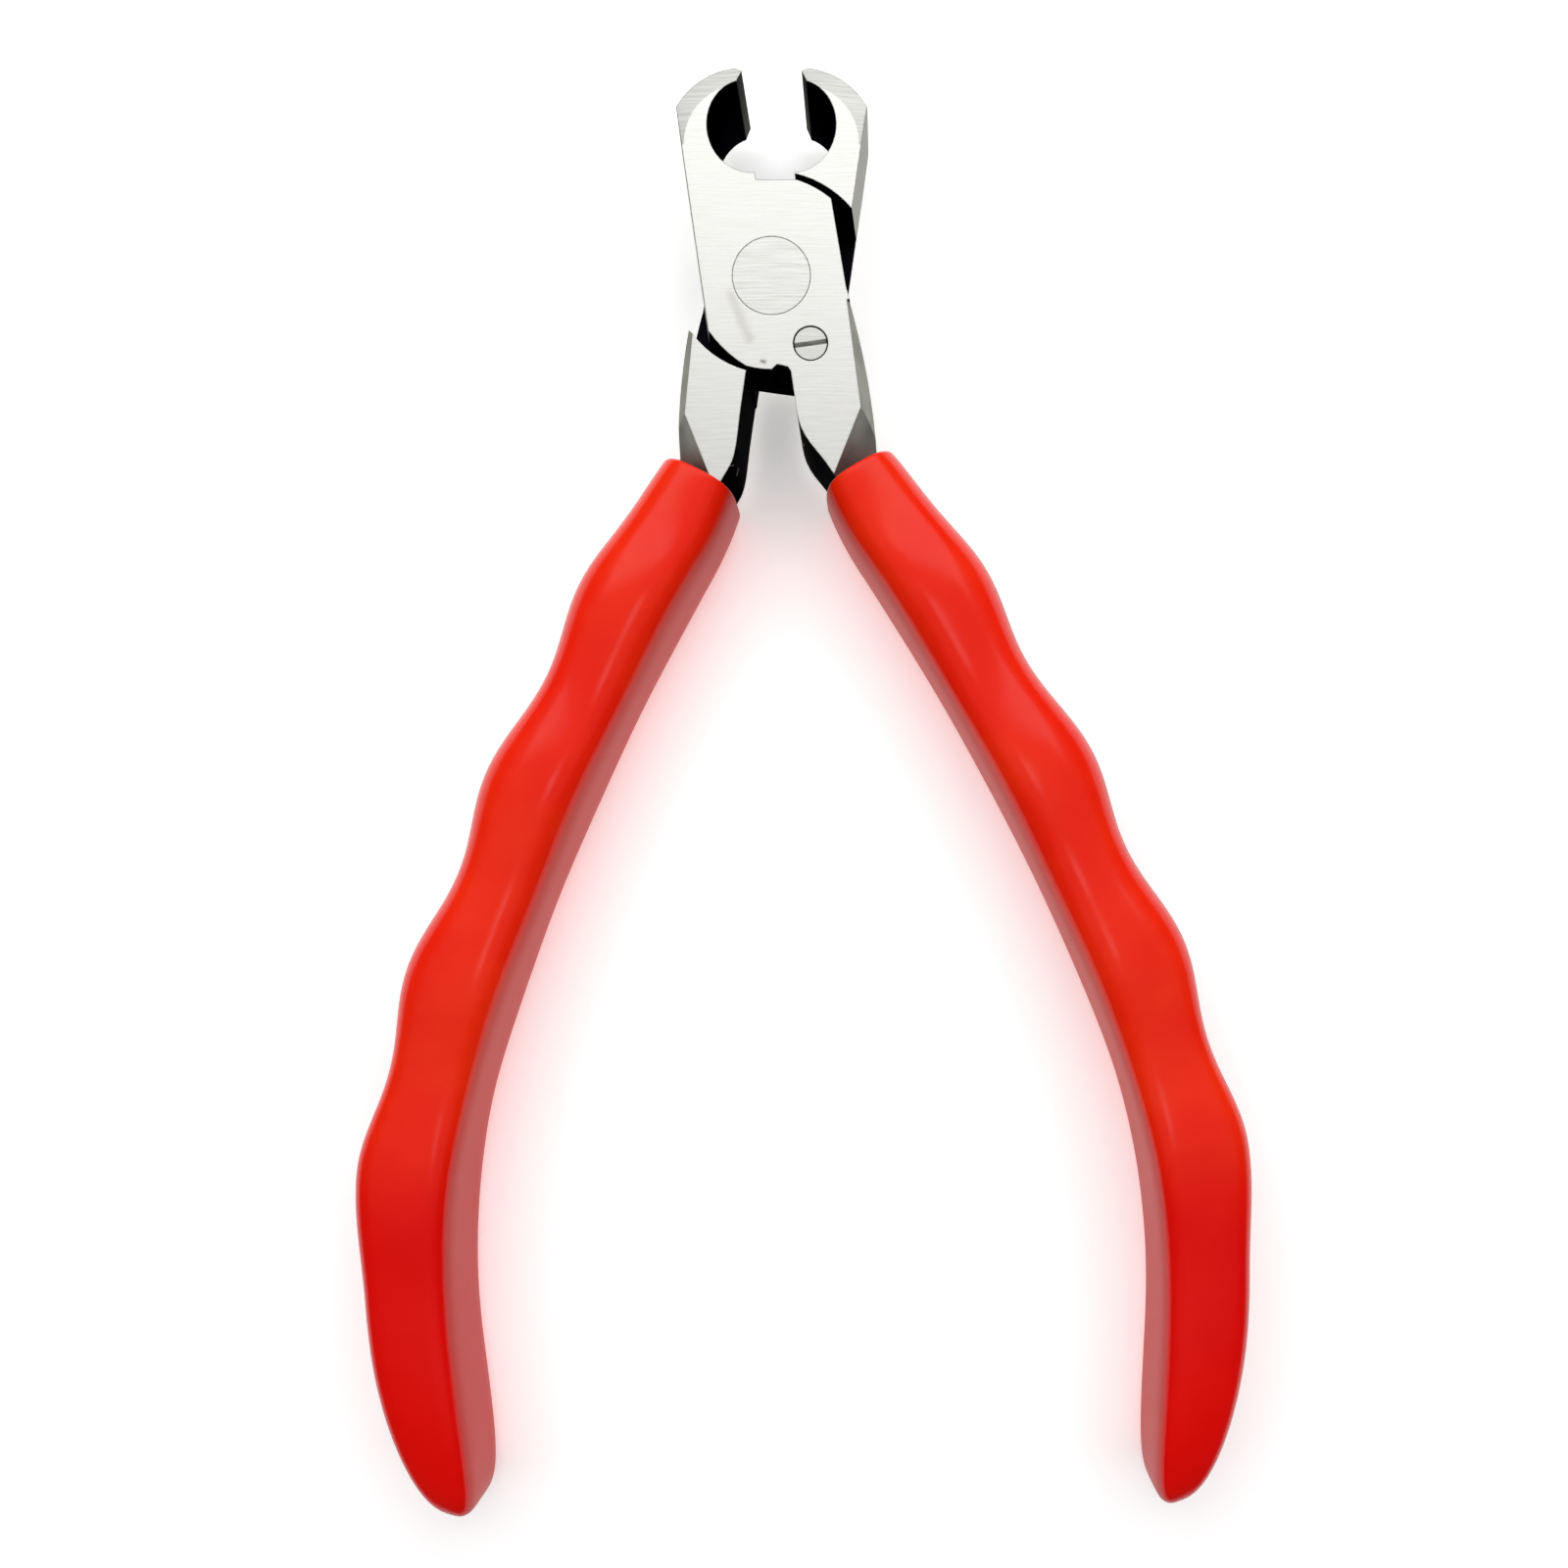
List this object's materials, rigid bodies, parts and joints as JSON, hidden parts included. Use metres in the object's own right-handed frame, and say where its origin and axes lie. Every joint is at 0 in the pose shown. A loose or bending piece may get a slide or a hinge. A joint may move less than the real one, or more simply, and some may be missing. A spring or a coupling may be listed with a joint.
{
  "type": "end cutting nippers",
  "caption": "Small end cutting nippers, open: lap-jointed steel levers with a flush rivet, slotted stop screw and moulded finger-groove grips.",
  "frame": {"origin": "on the pivot axis, in the flat underside plane of the head", "axes": "+Z along the pivot axis, up from the bench; +Y towards the jaws, along the line on which the cutting edges meet; +X to the right with the jaws away from the viewer"},
  "size_m": [0.0785, 0.1287, 0.013],
  "materials": {
    "ground_steel": "satin",
    "rivet_steel": "satin",
    "screw_steel": "satin",
    "spring_steel": "satin",
    "grip_vinyl": "gloss"
  },
  "bodies": {
    "front_half": {"front_lever": "ground_steel", "pivot_rivet": "rivet_steel", "stop_screw": "screw_steel", "front_grip": "grip_vinyl"},
    "back_half": {"back_lever": "ground_steel", "back_grip": "grip_vinyl", "opening_spring": "spring_steel"}
  },
  "joints": [
    {"name": "pivot", "type": "hinge", "parent": "front_half", "child": "back_half", "pos_m": [0, 0, 0], "axis": [0, 0, 1], "range_deg": [0, 16.4], "stiffness_Nm_per_rad": 0.6, "springref_deg": -9.74, "deforming": ["opening_spring"]}
  ]
}
